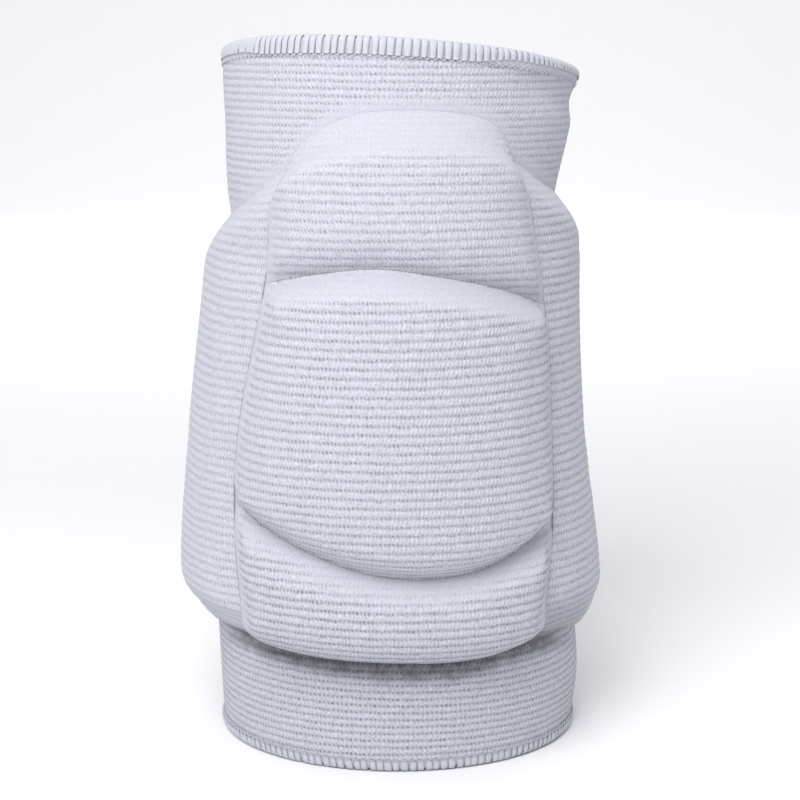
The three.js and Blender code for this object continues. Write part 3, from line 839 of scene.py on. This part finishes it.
# The overlock stitches: each is a flat thread up the outer face, over the edge in a half circle and down
# the inner face, tapered at both ends by a power of a sine.
def hemStitches(end):
    count = round(2 * math.pi * sleeve["radius"] / hemWork["stitchPitch"])
    random = np.random.default_rng(11)
    turn = np.arange(count) + hemWork["placeUneven"] * random.uniform(-1, 1, count)
    turn = (turn / count * 2 * math.pi - math.pi)[:, None, None]
    width = 1 + hemWork["widthUneven"] * random.uniform(-1, 1, count)[:, None, None]
    calm = (end == "upper") * rampUpAndDown(np.abs(np.degrees(turn)), *hemWork["calmTurns"])
    width = width * (1 + hemWork["calmWider"] * calm)
    step = np.linspace(0, 1, hemWork["steps"])[None, :, None]
    around = np.linspace(0, 2 * math.pi, hemWork["sides"], endpoint=False)[None, None]
    radius = (hemWork["band"] + hemWork["thread"]) / 2
    leg = hemHeight[end] - hemWork["bandEnd"] - radius
    outerLeg = leg * legShare(end, turn)
    run = step * (outerLeg + leg + math.pi * radius)
    bend = np.clip((run - outerLeg) / radius, 0, math.pi)
    depth = radius * (1 - np.sin(bend)) + hemWork["thread"] * hemWork["stitchInset"]
    depth = depth + np.maximum(outerLeg - run, 0) + np.maximum(run - outerLeg - math.pi * radius, 0)
    taper = np.sin(np.clip(step, 0.02, 0.98) * math.pi) ** hemWork["taperPower"]
    swell = hemWork["thread"] / 2 * (width - hemWork["calmLower"] * calm) * taper * np.sin(around)
    slide = hemWork["lean"] * (step - 0.5) / count * 2 * math.pi
    flat = np.sign(np.cos(around)) * np.abs(np.cos(around)) ** hemWork["flatPower"]
    slide = slide + flat * taper * width * hemWork["stitchWidth"] / 2 / sleeve["radius"]
    points = onHem(end, turn + slide, depth - swell * np.sin(bend), (radius + swell) * np.cos(bend))
    tube, _ = gridFaces(hemWork["steps"], hemWork["sides"], looped=True)
    vertices = hemWork["steps"] * hemWork["sides"]
    faces = (np.arange(count)[:, None, None] * vertices + tube[None]).reshape(-1, 4)
    ends = np.array([np.arange(hemWork["sides"])[::-1], np.arange(vertices - hemWork["sides"], vertices)])
    caps = (np.arange(count)[:, None, None] * vertices + ends[None]).reshape(-1, hemWork["sides"])
    return points.reshape(-1, 3), faces, caps


# The chain that ties the stitches off: a thread round the hem on its outer face, waved up and down.
def hemChain(end):
    count = round(2 * math.pi * sleeve["radius"] / hemWork["stitchPitch"])
    sides = hemWork["chainSides"]
    turns = np.linspace(-math.pi, math.pi, count * hemWork["chainSteps"], endpoint=False)[:, None]
    around = np.linspace(0, 2 * math.pi, sides, endpoint=False)[None]
    radius = hemWork["chainRadius"]
    wave = hemWork["chainWave"] * np.sin(turns * count)
    roll = hemWork["chainRoll"] * np.cos(2 * turns * count)
    depth = hemHeight[end] - hemWork["chainInside"] + wave - radius * np.sin(around)
    lift = sleeve["wall"] / 2 + radius * (0.8 + np.cos(around)) + roll
    points = onHem(end, turns, depth, lift)
    return points.reshape(-1, 3), gridFaces(len(turns), sides, closed=True, looped=True)[0]


def makeHem(name, node, end):
    bandPoints, bandFaces, paintedShade = hemBand(end)
    stitchPoints, stitchFaces, stitchCaps = hemStitches(end)
    chainPoints, chainFaces = hemChain(end)
    start, chainStart = len(bandPoints), len(bandPoints) + len(stitchPoints)
    parts = [(bandFaces, 1), (stitchFaces + start, 0), (stitchCaps + start, 0), (chainFaces + chainStart, 0)]
    # a hem at the other end is the mirror image, so its faces are turned over
    if end == "upper":
        parts = [(faces[:, ::-1], material) for faces, material in parts]
    points = np.concatenate([bandPoints, stitchPoints, chainPoints])
    attributes = {"stretched": np.ones(len(points)), "paintedShade": np.zeros(len(points))}
    attributes["paintedShade"][:len(paintedShade)] = paintedShade
    piece = buildPiece(name, points, [(faces, faces, material) for faces, material in parts],
                       np.zeros((len(points), 2)), attributes, [threadMaterial, ribKnitMaterial])
    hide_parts(node)
    return piece


swollen = settlePads()
knittedSleeve = makeSleeve()
print("sleeve done,", len(knittedSleeve.data.polygons), "faces")
for pad in pads:
    piece = makePad(pad)
    print(pad["node"], "done,", len(piece.data.polygons), "faces")
lowerHem = makeHem("lower_overlocked_hem", "lower_hem", "lower")
upperHem = makeHem("upper_overlocked_hem", "upper_hem", "upper")
print("hems done,", len(lowerHem.data.polygons), "faces each")

# Studio: a pale floor that curves up far behind the object on every side, and four soft lights.
studio = {
    "floorRadius": 1.7,
    "coveRadius": 1.3,
    "floor": "#F2F2F4",
    "keyPlace": (-0.24, -0.64, 0.8),
    "keySize": 0.6,
    "keyPower": 7.6,
    "topPlace": (0, 0, 2.4),
    "topSize": 2.2,
    "topPower": 16,
    "fillPlace": (0.0, -1.3, 1.3),
    "fillSize": 1.2,
    "fillPower": 4.4,
    "wallPlace": (0, 0.9, 1.2),
    "wallAim": (0, 2.6, 0.3),
    "wallSize": 1.0,
    "wallPower": 14,
    "sky": "#FAFBFF",
    "skyPower": 0.45,
    "floorSides": 96,
}


# A bowl: a flat disc whose rim turns up in a quarter circle, turned about the vertical.
def makeFloor():
    rise = np.linspace(0, math.pi / 2, 25)
    radii = np.concatenate([[0.15, 0.5, 1.0], studio["floorRadius"] + studio["coveRadius"] * np.sin(rise)])
    heights = np.concatenate([[0, 0, 0], studio["coveRadius"] * (1 - np.cos(rise))])
    sides = studio["floorSides"]
    turns = np.linspace(0, 2 * math.pi, sides, endpoint=False)[:, None]
    heights = np.broadcast_to(heights, (sides, len(radii)))
    points = np.stack([radii * np.cos(turns), radii * np.sin(turns), heights], -1)
    points = np.concatenate([points.reshape(-1, 3), [[0, 0, 0]]])
    quads, _ = gridFaces(sides, len(radii), closed=True)
    i = np.arange(sides)
    fan = np.stack([np.full(sides, len(points) - 1), i * len(radii), ((i + 1) % sides) * len(radii)], -1)
    mesh = bpy.data.meshes.new("studio_floor")
    mesh.from_pydata(points.tolist(), [], quads[:, ::-1].tolist() + fan.tolist())
    mesh.polygons.foreach_set("use_smooth", np.ones(len(mesh.polygons), bool))
    material = bpy.data.materials.new("matt_white_paper")
    material.use_nodes = True
    shader = material.node_tree.nodes["Principled BSDF"]
    shader.inputs["Base Color"].default_value = linear(studio["floor"])
    shader.inputs["Roughness"].default_value = 0.9
    mesh.materials.append(material)
    floor = bpy.data.objects.new("studio_floor", mesh)
    bpy.context.scene.collection.objects.link(floor)


def addLight(name, place, size, power, aim=(0, 0, 0.1)):
    light = bpy.data.lights.new(name, "AREA")
    light.shape = "DISK"
    light.size = size
    light.energy = power
    lamp = bpy.data.objects.new(name, light)
    lamp.location = place
    lamp.rotation_euler = (Vector(aim) - Vector(place)).to_track_quat("-Z", "Y").to_euler()
    bpy.context.scene.collection.objects.link(lamp)


makeFloor()
addLight("key_light", studio["keyPlace"], studio["keySize"], studio["keyPower"])
addLight("top_light", studio["topPlace"], studio["topSize"], studio["topPower"])
addLight("fill_light", studio["fillPlace"], studio["fillSize"], studio["fillPower"])
addLight("wall_light", studio["wallPlace"], studio["wallSize"], studio["wallPower"], studio["wallAim"])
world = bpy.data.worlds.new("soft_room")
world.use_nodes = True
world.node_tree.nodes["Background"].inputs["Color"].default_value = linear(studio["sky"])
world.node_tree.nodes["Background"].inputs["Strength"].default_value = studio["skyPower"]
bpy.context.scene.world = world
bpy.context.scene.view_settings.view_transform = "Standard"

# Camera: half a metre before the sleeve, at the height of its upper edge, looking a little down.
view = {
    "distance": 0.515,
    "height": 0.205,
    "down": 11.6,
    "focalPixels": 1766,
    "imagePixels": 800,
    "middlePixel": 401,
    "sensor": 36,  # millimetres
}
camera = bpy.data.objects.new("camera", bpy.data.cameras.new("camera"))
camera.location = (sleeveMiddle[0], sleeveMiddle[1] - view["distance"], view["height"])
camera.rotation_euler = (math.radians(90 - view["down"]), 0, 0)
camera.data.sensor_width = view["sensor"]
camera.data.lens = view["sensor"] * view["focalPixels"] / view["imagePixels"]
camera.data.shift_x = -(view["middlePixel"] - view["imagePixels"] / 2) / view["imagePixels"]
camera.data.clip_start = 0.01
bpy.context.scene.collection.objects.link(camera)
bpy.context.scene.camera = camera
print("studio and camera done")
